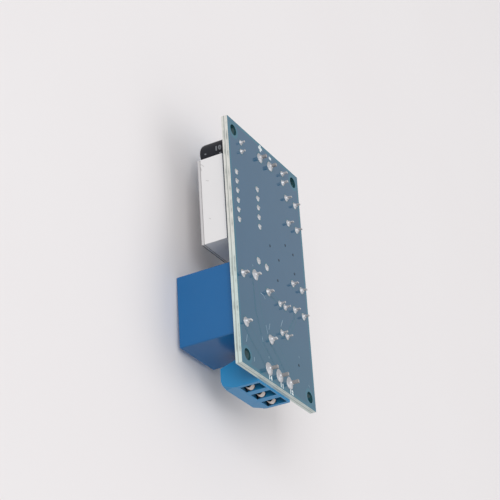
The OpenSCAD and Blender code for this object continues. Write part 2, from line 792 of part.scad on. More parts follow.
module button_leads(i) color("silver") stand() at_button(i)
    for (x = [-1, 1]) for (y = [-1, 1]) translate([x*button_pin_x/2, y*button_pin_y/2, 0]) {
        lead(button_section, leg_top, long_leg);
        reach = (button_pin_x - button_w)/2;
        translate([x > 0 ? -reach : 0, -button_section[1]/2, leg_top - button_section[0]])
            cube([reach, button_section[1], button_section[0]]);
    }

module button_plunger(i) color([0.1, 0.1, 0.1]) stand() at_button(i) rotate_extrude() polygon([
    [0, plunger_low], [plunger_flange_d/2, plunger_low],
    [plunger_flange_d/2, plunger_low + plunger_flange_t], [plunger_d/2, plunger_low + plunger_flange_t],
    [plunger_d/2, plunger_top - plunger_bevel], [plunger_d/2 - plunger_bevel, plunger_top],
    [0, plunger_top]]);

module button_1_base() button_base(0);
module button_1_cover() button_cover(0);
module button_1_dome() button_dome(0);
module button_1_leads() button_leads(0);
module button_1_plunger() button_plunger(0);
module button_2_base() button_base(1);
module button_2_cover() button_cover(1);
module button_2_dome() button_dome(1);
module button_2_leads() button_leads(1);
module button_2_plunger() button_plunger(1);

// Indicator lamp

lamp_flange_t = 1;
lamp_lead_top = 0.8;
lamp_flat = 0.3;

module lamp_lens() color("tomato") stand() difference() {
    on_board([lamp_u, lamp_v]) {
        cylinder(d = lamp_flange, h = lamp_flange_t);
        cylinder(d = lamp_d, h = lamp_h - lamp_d/2);
        translate([0, 0, lamp_h - lamp_d/2]) sphere(d = lamp_d);
    }
    on_board([lamp_u + lamp_flange - lamp_flat, lamp_v])
        slab([lamp_flange, lamp_flange + 2*cut, lamp_flange_t + cut], -cut/2);
    for (p = lamp_pins_at) on_board(p) translate([0, 0, -lamp_d])
        linear_extrude(lamp_d + lamp_lead_top) section(lamp_section, fit);
}

module lamp_leads() color("silver") stand()
    for (p = lamp_pins_at) on_board(p) lead(lamp_section, lamp_lead_top, long_leg);

// Disc capacitor, standing on its leads

disc_lift = 0.6;
disc_lead_top = disc_lift + disc_d/2;

module disc_capacitor() color([0.8, 0.55, 0.25]) stand() difference() {
    on_board([disc_u, disc_v]) translate([0, 0, disc_lift + disc_d/2]) rotate([0, 90, 0])
        rotate_extrude() {
            translate([0, -disc_t/2]) square([disc_d/2 - disc_t/2, disc_t]);
            intersection() {
                translate([disc_d/2 - disc_t/2, 0]) circle(d = disc_t, $fn = 32);
                translate([0, -disc_t]) square([disc_d, 2*disc_t]);
            }
        }
    for (p = disc_pins_at) on_board(p) linear_extrude(disc_lead_top) section(wire_section, fit);
}

module disc_capacitor_leads() color("silver") stand()
    for (p = disc_pins_at) on_board(p) lead(wire_section, disc_lead_top, long_leg);

// Axial resistor and diode, lying on the board

resistor_l = 3.6;
resistor_d = 1.8;
diode_l = 3.8;
diode_d = 1.9;
band_l = 0.7;

// A bent lead pair: up through the board, then along to the body
module axial_leads(v, length, z) {
    for (s = [-1, 1]) on_board([axial_u + s*axial_pitch/2, v]) {
        lead(wire_section, z, long_leg);
        translate([0, 0, z]) sphere(d = wire_section[0], $fn = 24);
    }
    run = (axial_pitch - length)/2;
    for (s = [-1, 1]) on_board([axial_u + s*(length + run)/2, v])
        translate([-run/2, 0, z]) rotate([0, 90, 0]) cylinder(d = wire_section[0], h = run, $fn = 24);
}

module axial_body(v, length, d) on_board([axial_u, v]) translate([-length/2, 0, d/2]) rotate([0, 90, 0])
    rotate_extrude() children();

// The resistor's caps are fatter than its middle
module resistor_body() color("burlywood") stand() axial_body(resistor_v, resistor_l, resistor_d) {
    polygon([[0, 0], [resistor_d*0.38, 0], [resistor_d/2, 0.25], [resistor_d/2, 0.75],
        [resistor_d*0.42, 1.05], [resistor_d*0.42, resistor_l - 1.05], [resistor_d/2, resistor_l - 0.75],
        [resistor_d/2, resistor_l - 0.25], [resistor_d*0.38, resistor_l], [0, resistor_l]]);
}

module resistor_leads() color("silver") stand() axial_leads(resistor_v, resistor_l, resistor_d/2);

module diode_body() color([0.12, 0.12, 0.12]) stand() axial_body(diode_v, diode_l, diode_d) {
    polygon([[0, 0], [diode_d*0.42, 0], [diode_d/2, 0.2], [diode_d/2, diode_l - 0.2],
        [diode_d*0.42, diode_l], [0, diode_l]]);
}

module diode_leads() color("silver") stand() axial_leads(diode_v, diode_l, diode_d/2);

// Surface-mounted parts between the display and the buttons

chip_w = 3.9;
chip_t = 1.5;
chip_lift = 0.15;
chip_span = 6;
chip_pitch = 1.27;
chip_pins = 8;
foot_w = 0.4;
foot_t = 0.2;
dimple_d = 0.8;
dimple_inset = 1;
mould_lean = 0.12;

// A gull-wing lead seen from the side, from the body's face outwards
module gull_wing(reach, rise, w) translate([0, w/2, 0]) rotate([90, 0, 0]) linear_extrude(w) polygon([
    [0, rise], [0, rise + foot_t], [reach*0.4, rise + foot_t], [reach*0.6, foot_t], [reach, foot_t],
    [reach, 0], [reach*0.45, 0], [reach*0.25, rise]]);

module controller_body() color([0.14, 0.14, 0.15]) stand() on_board([chip_u, chip_v]) difference() {
    translate([0, 0, chip_lift]) moulded_slab([chip_l, chip_w, chip_t], mould_lean, foot_t);
    translate([-chip_l/2 + dimple_inset, -chip_w/2 + dimple_inset, chip_lift + chip_t - cut])
        cylinder(d = dimple_d, h = 2*cut, $fn = 24);
}

module controller_leads() color("silver") stand() on_board([chip_u, chip_v])
    for (side = [0, 180]) rotate(side) for (i = [0 : chip_pins - 1])
        translate([(i - (chip_pins - 1)/2)*chip_pitch, chip_w/2, 0]) rotate(90)
            gull_wing((chip_span - chip_w)/2, chip_lift + chip_t/2 - foot_t/2, foot_w);

regulator_inset = 2.6;
regulator_rise = 0.8;
regulator_at = [display_left + regulator_inset, chip_v - regulator_rise];
regulator_size = [4.5, 2.5, 1.5];
regulator_pitch = 1.5;
regulator_foot = [0.45, 1.4];
regulator_tuck = 0.4;
regulator_tab = [1.7, 0.8];

module regulator_body() color([0.14, 0.14, 0.15]) stand() on_board(regulator_at)
    translate([0, 0, 2*foot_t]) moulded_slab(regulator_size, mould_lean, foot_t);

module regulator_leads() color("silver") stand() on_board(regulator_at) {
    for (i = [-1, 0, 1])
        translate([i*regulator_pitch, regulator_tuck - (regulator_size[1] + regulator_foot[1])/2, 0])
            slab([regulator_foot[0], regulator_foot[1], 2*foot_t]);
    slab([regulator_tab[0], regulator_size[1], 2*foot_t]);
    translate([0, (regulator_size[1] + regulator_tab[1])/2, 0])
        slab([regulator_tab[0], regulator_tab[1], 2*foot_t]);
}

transistor_at = [disc_u, chip_v];
transistor_size = [2.9, 1.3, 1];
transistor_pitch = 1.9;
transistor_reach = 0.55;

module transistor_body() color([0.14, 0.14, 0.15]) stand() on_board(transistor_at)
    translate([0, 0, foot_t/2]) moulded_slab(transistor_size, mould_lean, foot_t);

module transistor_leads() color("silver") stand() on_board(transistor_at)
    for (p = [[-transistor_pitch/2, -90], [transistor_pitch/2, -90], [0, 90]])
        translate([p[0], sign(p[1])*transistor_size[1]/2, 0]) rotate(p[1])
            gull_wing(transistor_reach, transistor_size[2]/2, foot_w);

// Chip resistors in a row under the controller, and chip capacitors beside it and the regulator

small_chip = [2, 1.25];
resistor_chip_t = 0.5;
capacitor_chip_t = 0.9;
end_cap_l = 0.35;
chip_row_pitch = 2.4;
chip_row = 5;
chip_row_gap = 1.6;
chip_side_gap = 1.2;
regulator_side_gap = 0.9;
chip_row_v = chip_v + chip_span/2 + chip_row_gap + small_chip[0]/2;
chip_side = chip_l/2 + chip_side_gap + small_chip[1]/2;
chip_resistors_at = [
    for (i = [0 : chip_row - 1]) [chip_u + (i - (chip_row - 1)/2)*chip_row_pitch, chip_row_v]];
chip_capacitors_at = [
    [regulator_at[0] + regulator_size[0]/2 + regulator_side_gap + small_chip[1]/2, regulator_at[1]],
    [chip_u - chip_side, chip_v], [chip_u + chip_side, chip_v]];

module upright_chip(t) rotate(90) slab([small_chip[0] - 2*end_cap_l, small_chip[1], t]);
module upright_ends(t) rotate(90) for (s = [-1, 1])
    translate([s*(small_chip[0] - end_cap_l)/2, 0, 0]) slab([end_cap_l, small_chip[1], t]);

module chip_resistors() color([0.1, 0.1, 0.1]) stand()
    for (p = chip_resistors_at) on_board(p) upright_chip(resistor_chip_t);

module chip_capacitors() color("peru") stand()
    for (p = chip_capacitors_at) on_board(p) upright_chip(capacitor_chip_t);

module chip_end_caps() color("gainsboro") stand() {
    for (p = chip_resistors_at) on_board(p) upright_ends(resistor_chip_t);
    for (p = chip_capacitors_at) on_board(p) upright_ends(capacitor_chip_t);
}

circuit_board();
solder_joints();
display_shell();
display_face_film();
display_light_bars();
display_resin();
display_leads();
capacitor_can();
capacitor_sleeve();
capacitor_bung();
capacitor_leads();
relay_cover();
relay_base();
relay_yoke();
relay_bobbin();
relay_coil();
relay_core();
relay_coil_leads();
relay_closed_contact();
relay_open_contact();
relay_armature();
relay_contact_spring();
output_terminal_body();
output_clamps();
output_wire_guards();
output_screw_1();
output_screw_2();
output_screw_3();
input_terminal_body();
input_clamps();
input_wire_guards();
input_screw_1();
input_screw_2();
button_1_base();
button_1_cover();
button_1_dome();
button_1_leads();
button_1_plunger();
button_2_base();
button_2_cover();
button_2_dome();
button_2_leads();
button_2_plunger();
lamp_lens();
lamp_leads();
disc_capacitor();
disc_capacitor_leads();
resistor_body();
resistor_leads();
diode_body();
diode_leads();
controller_body();
controller_leads();
regulator_body();
regulator_leads();
transistor_body();
transistor_leads();
chip_resistors();
chip_capacitors();
chip_end_caps();
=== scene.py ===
"""Cycle timer relay module: finishes, solder, print, table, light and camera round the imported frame."""
import json
import math
import random

import bmesh
import bpy
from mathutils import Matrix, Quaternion, Vector


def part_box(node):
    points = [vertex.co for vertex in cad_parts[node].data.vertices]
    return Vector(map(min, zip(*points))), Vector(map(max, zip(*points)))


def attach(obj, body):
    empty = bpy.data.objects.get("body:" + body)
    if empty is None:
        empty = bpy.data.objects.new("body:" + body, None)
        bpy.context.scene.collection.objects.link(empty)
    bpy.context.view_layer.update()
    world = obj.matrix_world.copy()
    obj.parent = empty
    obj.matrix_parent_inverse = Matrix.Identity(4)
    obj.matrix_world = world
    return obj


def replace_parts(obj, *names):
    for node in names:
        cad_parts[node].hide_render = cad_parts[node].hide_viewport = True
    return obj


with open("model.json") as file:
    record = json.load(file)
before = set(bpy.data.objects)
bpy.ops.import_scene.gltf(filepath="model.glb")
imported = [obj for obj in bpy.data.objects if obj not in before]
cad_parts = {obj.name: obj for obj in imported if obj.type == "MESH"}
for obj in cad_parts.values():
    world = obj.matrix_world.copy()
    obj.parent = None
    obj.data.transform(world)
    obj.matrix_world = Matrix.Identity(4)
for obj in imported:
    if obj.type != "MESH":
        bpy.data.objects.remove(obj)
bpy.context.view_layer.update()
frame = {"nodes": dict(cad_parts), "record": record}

# Lengths are in millimetres, and the frame is in metres
MM = 0.001
# Points this close are one point, and places are told apart to as many digits
WELD = 0.001
WELD_DIGITS = 3
BODY = "module"


def box_mm(node):
    """A node's lowest and highest corners, in millimetres."""
    return [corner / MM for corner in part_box(node)]


def span(points):
    """The lowest and highest corners of some points."""
    return Vector(map(min, zip(*points))), Vector(map(max, zip(*points)))


board_low, board_high = box_mm("circuit_board")
board_l = board_high.x - board_low.x
board_w = board_high.z - board_low.z
fixing = next(m["dims"] for m in frame["record"]["mounts"] if m["name"] == "fixing_holes")
hole_x = fixing["spacing_x_mm"] / 2
hole_z = fixing["spacing_y_mm"] / 2
hole_r = fixing["hole_r_mm"]


def on_board(along, down):
    """A point of the board given from its input end and its upper edge, as X and Z."""
    return along - board_l / 2, board_w / 2 - down


# Materials: one function adds a node, and each finish has its own function

# The sockets of a colour Mix node
FACTOR, FIRST, SECOND, RESULT = 0, 6, 7, 2
# A wave texture of scale 1 repeats every 2 pi / 20
WAVE = 0.314
# A face looks along an axis where its normal has more than this share of it
LOOKS = 0.5
PLASTIC_IOR = 1.5
# The smoothest and the roughest spots of a finish, as shares of its roughness
PLASTIC_GLOSS = (0.8, 1.25)
METAL_GLOSS = (0.7, 1.4)
# How strongly the grain shows as relief
PLASTIC_RELIEF = 0.5
METAL_RELIEF = 0.6


def linear(code):
    """An sRGB hex colour as linear red, green, blue and alpha."""
    levels = [int(code[i:i + 2], 16) / 255 for i in (1, 3, 5)]
    return [v / 12.92 if v <= 0.04045 else ((v + 0.055) / 1.055) ** 2.4 for v in levels] + [1.0]


def add(tree, kind, inputs=None, **settings):
    """Adds a node with its settings; an input is a value, a socket to link, or a node to link from."""
    made = tree.nodes.new(kind)
    for name, value in settings.items():
        setattr(made, name, value)
    for name, value in (inputs or {}).items():
        if isinstance(value, bpy.types.Node):
            value = value.outputs[0]
        if isinstance(value, bpy.types.NodeSocket):
            tree.links.new(value, made.inputs[name])
        else:
            made.inputs[name].default_value = value
    return made


def start(name, sockets):
    """A material, its tree, its shader with the even values set, and the place on the part in mm."""
    made = bpy.data.materials.new(name)
    made.use_nodes = True
    tree = made.node_tree
    shader = tree.nodes["Principled BSDF"]
    for socket, value in sockets.items():
        shader.inputs[socket].default_value = value
    coords = add(tree, "ShaderNodeTexCoord")
    place = add(tree, "ShaderNodeVectorMath", {0: coords.outputs["Object"], "Scale": 1 / MM},
                operation="SCALE")
    return made, tree, shader, place


def skin(tree, shader, tint, grain, gloss, relief_mm, strength):
    """Gives a shader its colour, and a gloss and a relief that both follow one grain."""
    smooth, rough = gloss
    shine = add(tree, "ShaderNodeMapRange", {"Value": grain, "To Min": smooth, "To Max": rough})
    relief = add(tree, "ShaderNodeBump",
                 {"Height": grain, "Distance": relief_mm * MM, "Strength": strength})
    tree.links.new(tint.outputs[RESULT], shader.inputs["Base Color"])
    tree.links.new(shine.outputs[0], shader.inputs["Roughness"])
    tree.links.new(relief.outputs[0], shader.inputs["Normal"])


def moulded(name, colour, flow, rough, grain_mm, relief_mm, level=0.5):
    """Moulded plastic: slow flow marks in the colour, a gloss that varies, and the tool's fine grain. The
    real grain is some hundredths of a millimetre, and is drawn as coarse as it needs to show."""
    flow_mm = 7
    made, tree, shader, place = start(name, {"IOR": PLASTIC_IOR, "Specular IOR Level": level})
    marks = add(tree, "ShaderNodeTexNoise", {"Vector": place, "Scale": 1 / flow_mm, "Detail": 3.0})
    tint = add(tree, "ShaderNodeMix", {FACTOR: marks, FIRST: linear(colour), SECOND: linear(flow)},
               data_type="RGBA")
    grain = add(tree, "ShaderNodeTexNoise", {"Vector": place, "Scale": 1 / grain_mm, "Detail": 2.0})
    skin(tree, shader, tint, grain, [rough * share for share in PLASTIC_GLOSS], relief_mm, PLASTIC_RELIEF)
    return made


def metal(name, colour, dull, rough, grain_mm, relief_mm, bare=1.0):
    """Bare or plated metal: brighter and duller patches, with a fine uneven skin that is drawn as coarse as
    it needs to show. A film of flux or oxide makes it less bare."""
    made, tree, shader, place = start(name, {"Metallic": bare})
    grain = add(tree, "ShaderNodeTexNoise", {"Vector": place, "Scale": 1 / grain_mm, "Detail": 3.0})
    tint = add(tree, "ShaderNodeMix", {FACTOR: grain, FIRST: linear(colour), SECOND: linear(dull)},
               data_type="RGBA")
    skin(tree, shader, tint, grain, [rough * share for share in METAL_GLOSS], relief_mm, METAL_RELIEF)
    return made


def ringed(name, colour, runs, rough, run_mm, ring_mm, rings):
    """A dipped or moulded body with painted rings, each at its place along X and in its own colour."""
    made, tree, shader, place = start(name, {"IOR": PLASTIC_IOR, "Roughness": rough})
    split = add(tree, "ShaderNodeSeparateXYZ", {"Vector": place})
    marks = add(tree, "ShaderNodeTexNoise", {"Vector": place, "Scale": 1 / run_mm, "Detail": 2.0})
    tint = add(tree, "ShaderNodeMix", {FACTOR: marks, FIRST: linear(colour), SECOND: linear(runs)},
               data_type="RGBA")
    for middle, paint in rings:
        ring = add(tree, "ShaderNodeMath", {0: split.outputs["X"], 1: middle, 2: ring_mm / 2},
                   operation="COMPARE")
        tint = add(tree, "ShaderNodeMix",
                   {FACTOR: ring, FIRST: tint.outputs[RESULT], SECOND: linear(paint)}, data_type="RGBA")
    tree.links.new(tint.outputs[RESULT], shader.inputs["Base Color"])
    return made


def repaint(made, where, code):
    """Another colour on a material, as much as a socket says."""
    tree = made.node_tree
    shader = tree.nodes["Principled BSDF"]
    first = shader.inputs["Base Color"].links[0].from_socket
    colour = add(tree, "ShaderNodeMix", {FACTOR: where, FIRST: first, SECOND: linear(code)},
                 data_type="RGBA")
    tree.links.new(colour.outputs[RESULT], shader.inputs["Base Color"])
    return made


def beyond(made, depth, operation):
    """Whether a point of a material lies above or below a depth, in millimetres along Y."""
    tree = made.node_tree
    place = tree.nodes["Texture Coordinate"].outputs["Object"]
    split = add(tree, "ShaderNodeSeparateXYZ", {"Vector": place})
    return add(tree, "ShaderNodeMath", {0: split.outputs["Y"], 1: depth * MM}, operation=operation)


def looks_along(tree, axis):
    """Whether a face of the part looks along an axis, either way."""
    normal = tree.nodes["Texture Coordinate"].outputs["Normal"]
    split = add(tree, "ShaderNodeSeparateXYZ", {"Vector": normal})
    share = add(tree, "ShaderNodeMath", {0: split.outputs[axis]}, operation="ABSOLUTE")
    return add(tree, "ShaderNodeMath", {0: share, 1: LOOKS}, operation="GREATER_THAN")


# Blue solder mask over copper, the greener mask over bare laminate, and the sawn glass-epoxy edge
MASK_COPPER = "#245271"
MASK_COPPER_WORN = "#2A5877"
MASK_THIN = "#1A5871"
MASK_BARE = "#17627A"
MASK_GAP = "#184C68"
EDGE_WARM = "#D6D5D0"
EDGE_PALE = "#C7D4D0"
EDGE_GREY = "#8F9692"
# Painted shade: the walls of the holes, dark green as they look in their own shade
HOLE_WALL_SHADE = "#24494F"
# Width of the rim, round the board and its fixing holes, that the copper pour leaves bare
RIM = 0.8


def mask_gloss(tree, shader, place):
    """The cured film's gloss, with the glass cloth showing faintly through as relief."""
    thread_mm = 0.6
    peel_mm = 1.6
    relief_mm = 0.01
    cloth_share = 0.25
    smooth, rough = 0.06, 0.11
    peel = add(tree, "ShaderNodeTexNoise", {"Vector": place, "Scale": 1 / peel_mm, "Detail": 2.0})
    warp, weft = (add(tree, "ShaderNodeTexWave",
                      {"Vector": place, "Scale": WAVE / thread_mm, "Distortion": 0.6}, bands_direction=axis)
                  for axis in "XZ")
    cloth = add(tree, "ShaderNodeMath", {0: warp, 1: weft}, operation="MULTIPLY")
    height = add(tree, "ShaderNodeMath", {0: cloth, 1: cloth_share, 2: peel}, operation="MULTIPLY_ADD")
    relief = add(tree, "ShaderNodeBump", {"Height": height, "Distance": relief_mm * MM, "Strength": 0.6})
    gloss = add(tree, "ShaderNodeMapRange", {"Value": peel, "To Min": smooth, "To Max": rough})
    tree.links.new(gloss.outputs[0], shader.inputs["Roughness"])
    tree.links.new(relief.outputs[0], shader.inputs["Normal"])


def mask_film(tree, place, split, inside):
    """The mask's colour: mottled over the copper pour, thinner and greener towards the output end, and
    greener still where there is no copper under it."""
    mottle_mm = 5
    soft_mm = 0.15
    thin_from_mm = 8.0
    thin_share = 0.8
    pour = add(tree, "ShaderNodeMapRange", {"Value": inside, "From Min": -soft_mm, "From Max": soft_mm})
    mottle = add(tree, "ShaderNodeTexNoise", {"Vector": place, "Scale": 1 / mottle_mm, "Detail": 4.0})
    copper = add(tree, "ShaderNodeMix",
                 {FACTOR: mottle, FIRST: linear(MASK_COPPER), SECOND: linear(MASK_COPPER_WORN)},
                 data_type="RGBA")
    thin = add(tree, "ShaderNodeMapRange",
               {"Value": split.outputs["X"], "From Min": thin_from_mm, "From Max": board_l / 2,
                "To Max": thin_share})
    copper = add(tree, "ShaderNodeMix",
                 {FACTOR: thin, FIRST: copper.outputs[RESULT], SECOND: linear(MASK_THIN)}, data_type="RGBA")
    return add(tree, "ShaderNodeMix",
               {FACTOR: pour, FIRST: linear(MASK_BARE), SECOND: copper.outputs[RESULT]}, data_type="RGBA")


def sawn_edge(tree, place, split):
    """The sawn edge's colour: pale resin, greener past the middle of the board, with grey glass showing
    here and there between its layers and in a line along its core."""
    layer_mm = 0.72
    streak_mm = 2.5
    core_mm = 0.24
    core_at_mm = 0.68
    core_share = 0.75
    green_from_mm, green_to_mm = -2.0, 8.0
    patch_from, patch_to = 0.44, 0.7
    layers = add(tree, "ShaderNodeTexWave",
                 {"Vector": place, "Scale": WAVE / layer_mm, "Distortion": 1.2, "Detail Scale": 0.6},
                 bands_direction="Y")
    streaks = add(tree, "ShaderNodeTexNoise", {"Vector": place, "Scale": 1 / streak_mm, "Detail": 4.0})
    patches = add(tree, "ShaderNodeMapRange",
                  {"Value": streaks, "From Min": patch_from, "From Max": patch_to})
    glass = add(tree, "ShaderNodeMath", {0: layers, 1: patches}, operation="MULTIPLY")
    core = add(tree, "ShaderNodeMath",
               {0: split.outputs["Y"], 1: board_low.y + core_at_mm, 2: core_mm / 2}, operation="COMPARE")
    core = add(tree, "ShaderNodeMath", {0: core, 1: core_share}, operation="MULTIPLY")
    glass = add(tree, "ShaderNodeMath", {0: glass, 1: core}, operation="MAXIMUM")
    green = add(tree, "ShaderNodeMapRange",
                {"Value": split.outputs["X"], "From Min": green_from_mm, "From Max": green_to_mm})
    resin = add(tree, "ShaderNodeMix",
                {FACTOR: green, FIRST: linear(EDGE_WARM), SECOND: linear(EDGE_PALE)}, data_type="RGBA")
    return add(tree, "ShaderNodeMix",
               {FACTOR: glass, FIRST: resin.outputs[RESULT], SECOND: linear(EDGE_GREY)}, data_type="RGBA")


def solder_mask():
    """Liquid solder mask on glass-epoxy: a glossy blue film, greyer over the copper pour, greener on the
    bare rim and round the holes, with a pale sawn edge and painted shade on the walls of the holes."""
    edge_mm = 0.1
    made, tree, shader, place = start("solder_mask_on_glass_epoxy", {"IOR": PLASTIC_IOR})
    mask_gloss(tree, shader, place)
    split = add(tree, "ShaderNodeSeparateXYZ", {"Vector": place})
    along = add(tree, "ShaderNodeMath", {0: split.outputs["X"]}, operation="ABSOLUTE")
    up = add(tree, "ShaderNodeMath", {0: split.outputs["Z"]}, operation="ABSOLUTE")

    # How far a point lies inside the copper pour: from the rim, and from the nearest fixing hole
    end_gap = add(tree, "ShaderNodeMath", {0: board_l / 2 - RIM, 1: along}, operation="SUBTRACT")
    side_gap = add(tree, "ShaderNodeMath", {0: board_w / 2 - RIM, 1: up}, operation="SUBTRACT")
    rim_gap = add(tree, "ShaderNodeMath", {0: end_gap, 1: side_gap}, operation="MINIMUM")
    hole_along = add(tree, "ShaderNodeMath", {0: along, 1: hole_x}, operation="SUBTRACT")
    hole_up = add(tree, "ShaderNodeMath", {0: up, 1: hole_z}, operation="SUBTRACT")
    hole_at = add(tree, "ShaderNodeCombineXYZ", {"X": hole_along, "Y": hole_up})
    hole_far = add(tree, "ShaderNodeVectorMath", {0: hole_at}, operation="LENGTH")
    hole_gap = add(tree, "ShaderNodeMath", {0: hole_far.outputs["Value"], 1: hole_r + RIM},
                   operation="SUBTRACT")
    inside = add(tree, "ShaderNodeMath", {0: rim_gap, 1: hole_gap}, operation="MINIMUM")
    film = mask_film(tree, place, split, inside)

    # A wall is sawn where it is the board's outer edge, and else it is the wall of a hole, painted dark as
    # its shade
    outer = add(tree, "ShaderNodeMath", {0: rim_gap, 1: edge_mm - RIM}, operation="LESS_THAN")
    sawn = sawn_edge(tree, place, split)
    wall = add(tree, "ShaderNodeMix",
               {FACTOR: outer, FIRST: linear(HOLE_WALL_SHADE), SECOND: sawn.outputs[RESULT]}, data_type="RGBA")
    colour = add(tree, "ShaderNodeMix",
                 {FACTOR: looks_along(tree, "Y"), FIRST: wall.outputs[RESULT], SECOND: film.outputs[RESULT]},
                 data_type="RGBA")
    tree.links.new(colour.outputs[RESULT], shader.inputs["Base Color"])
    return made


def bare_mask():
    """The same film over bare laminate, in the gaps between the tracks and the pour: darker and greener."""
    mottle_mm = 2.5
    made, tree, shader, place = start("solder_mask_over_bare_laminate", {"IOR": PLASTIC_IOR})
    mask_gloss(tree, shader, place)
    mottle = add(tree, "ShaderNodeTexNoise", {"Vector": place, "Scale": 1 / mottle_mm, "Detail": 2.0})
    tint = add(tree, "ShaderNodeMix", {FACTOR: mottle, FIRST: linear(MASK_GAP), SECOND: linear(MASK_BARE)},
               data_type="RGBA")
    tree.links.new(tint.outputs[RESULT], shader.inputs["Base Color"])
    return made


def via_shade():
    """Mask sunk into the small plated holes, drawn as dark dots: painted shade of the holes."""
    return moulded("mask_over_plated_holes", "#1B2B3A", "#223548",
                   rough=0.3, grain_mm=0.4, relief_mm=0.004, level=0.15)


def print_ink():
    """Epoxy legend ink, screened on: matt white, thin enough for the weave to break its edges."""
    return moulded("screened_epoxy_ink", "#E0E8E9", "#C3D0D5", rough=0.6, grain_mm=0.15, relief_mm=0.01)


def sleeve_ink():
    """Grey ink on the sleeve, thin and rubbed."""
    return moulded("rubbed_grey_ink", "#8F9297", "#505358", rough=0.5, grain_mm=0.3, relief_mm=0.004)


def scuff_mask():
    """Mask scratched through to its pale underside."""
    return moulded("scratched_mask", "#9DB2BF", "#6F8CA2", rough=0.5, grain_mm=0.3, relief_mm=0.004)


def scuff_shell():
    """White plastic rubbed grey."""
    return moulded("rubbed_polycarbonate", "#B9B6B6", "#CBC9C9", rough=0.55, grain_mm=0.2, relief_mm=0.004)


def tin_solder():
    """Tin solder frozen from the wave: pale and satin, greyer where it cooled last."""
    return metal("tin_solder", "#CED0D4", "#A2A2A6", rough=0.5, grain_mm=0.35, relief_mm=0.012)


# The tinned skin of a lead, and how much of it is bare of flux
TIN = "#CBCACB"
TIN_BARE = 0.3


def tinned_copper():
    """Tinned copper wire and strip, cut with pliers: a pale grey skin, dulled by flux."""
    return metal("tinned_copper", TIN, "#A3A2A4", rough=0.45, grain_mm=0.3, relief_mm=0.006, bare=TIN_BARE)


def tinned_leads(made, tin=TIN):
    """The same metal, tinned and dulled by flux where it passes through the board."""
    tree = made.node_tree
    tinned = beyond(made, board_low.y, "GREATER_THAN")
    bare = add(tree, "ShaderNodeMapRange", {"Value": tinned, "To Min": 1.0, "To Max": TIN_BARE})
    tree.links.new(bare.outputs[0], tree.nodes["Principled BSDF"].inputs["Metallic"])
    return repaint(made, tinned, tin)


def white_shell():
    """White polycarbonate, moulded to keep light in: chalky, with a soft gloss, and painted grey along its
    front rim as the shade of the seam there.
    """
    front_shade_mm = 0.6
    made = moulded("moulded_white_polycarbonate", "#E2E0E1", "#DDDBDC",
                   rough=0.38, grain_mm=0.25, relief_mm=0.004)
    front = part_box("display_shell")[0].y / MM
    # Painted shade: the front rim, with the seam groove in it, is painted grey
    return repaint(made, beyond(made, front + front_shade_mm, "LESS_THAN"), "#C6C4C5")


def face_ink():
    """Grey ink on the display's face, the same grey painted on its ends as the shade in the gaps there,
    and the plastic showing at its long edges.
    """
    grain_mm = 0.2
    smooth, rough = 0.4, 0.55
    made, tree, shader, place = start("printed_display_face", {"IOR": PLASTIC_IOR})
    grain = add(tree, "ShaderNodeTexNoise", {"Vector": place, "Scale": 1 / grain_mm, "Detail": 2.0})
    ink_and_end_shade = add(tree, "ShaderNodeMix", {FACTOR: grain, FIRST: linear("#2B2C2E"), SECOND: linear("#343537")},
              data_type="RGBA")
    # Faces along Z show the pale plastic; the ends get the ink's grey as painted shade
    colour = add(tree, "ShaderNodeMix",
                 {FACTOR: looks_along(tree, "Z"), FIRST: ink_and_end_shade.outputs[RESULT], SECOND: linear("#BCBABB")},
                 data_type="RGBA")
    gloss = add(tree, "ShaderNodeMapRange", {"Value": grain, "To Min": smooth, "To Max": rough})
    tree.links.new(colour.outputs[RESULT], shader.inputs["Base Color"])
    tree.links.new(gloss.outputs[0], shader.inputs["Roughness"])
    return made


def light_bars():
    """Milky epoxy in the digits' light wells: pale, faintly pink, a little soft to the light."""
    return moulded("diffusing_epoxy", "#F3ECE8", "#E9DEDA", rough=0.3, grain_mm=0.4, relief_mm=0.004)


def potting():
    """Poured potting epoxy behind the digits: pale amber with a level, glossy top."""
    return moulded("potting_epoxy", "#D8CFB4", "#C9BE9E", rough=0.25, grain_mm=1.2, relief_mm=0.01)


def can_metal():
    """Drawn aluminium of the capacitor's can: satin, clouded a little by the die."""
    return metal("drawn_aluminium", "#D9DADB", "#BFC0C2", rough=0.32, grain_mm=0.2, relief_mm=0.004)


def shrink_sleeve():
    """Shrunk PVC sleeve: near black, with a low gloss that ripples where it drew tight."""
    return moulded("shrunk_pvc_black", "#26272C", "#2D2E33",
                   rough=0.42, grain_mm=1.1, relief_mm=0.02, level=0.1)


def bung_rubber():
    """Butyl rubber bung: dull black."""
    return moulded("butyl_rubber", "#1B1B1C", "#232324", rough=0.75, grain_mm=0.3, relief_mm=0.01, level=0.3)


def relay_blue():
    """PBT polyester from a polished tool: even deep blue, with a soft gloss on its flat faces."""
    return moulded("moulded_pbt_blue", "#1E629A", "#1C5E95",
                   rough=0.22, grain_mm=0.3, relief_mm=0.003, level=0.3)


def terminal_blue():
    """Polyamide from a satin tool: a lighter, livelier blue than the relay, waxy in the light, with painted
    shade that turns it near black deep in its openings."""
    deep_mm = 3
    # How open a spot is where the painted shade is full, and where it ends
    shut, clear = 0.62, 0.97
    made = moulded("moulded_polyamide_blue", "#2A8AC1", "#2783B8",
                   rough=0.36, grain_mm=0.3, relief_mm=0.004, level=0.4)
    tree = made.node_tree
    # Painted shade: the blue turns near black where little open sky reaches it
    shade_from_occlusion = add(tree, "ShaderNodeAmbientOcclusion", {"Distance": deep_mm * MM}, samples=8, only_local=True)
    depth = add(tree, "ShaderNodeMapRange",
                {"Value": shade_from_occlusion.outputs["AO"], "From Min": shut, "From Max": clear,
                 "To Min": 1.0, "To Max": 0.0})
    return repaint(made, depth, "#0A1C2B")


def bobbin_plastic():
    """Natural polyamide of the bobbin: off-white and waxy."""
    return moulded("natural_polyamide", "#E6DFCB", "#DCD3BB", rough=0.45, grain_mm=0.4, relief_mm=0.004)


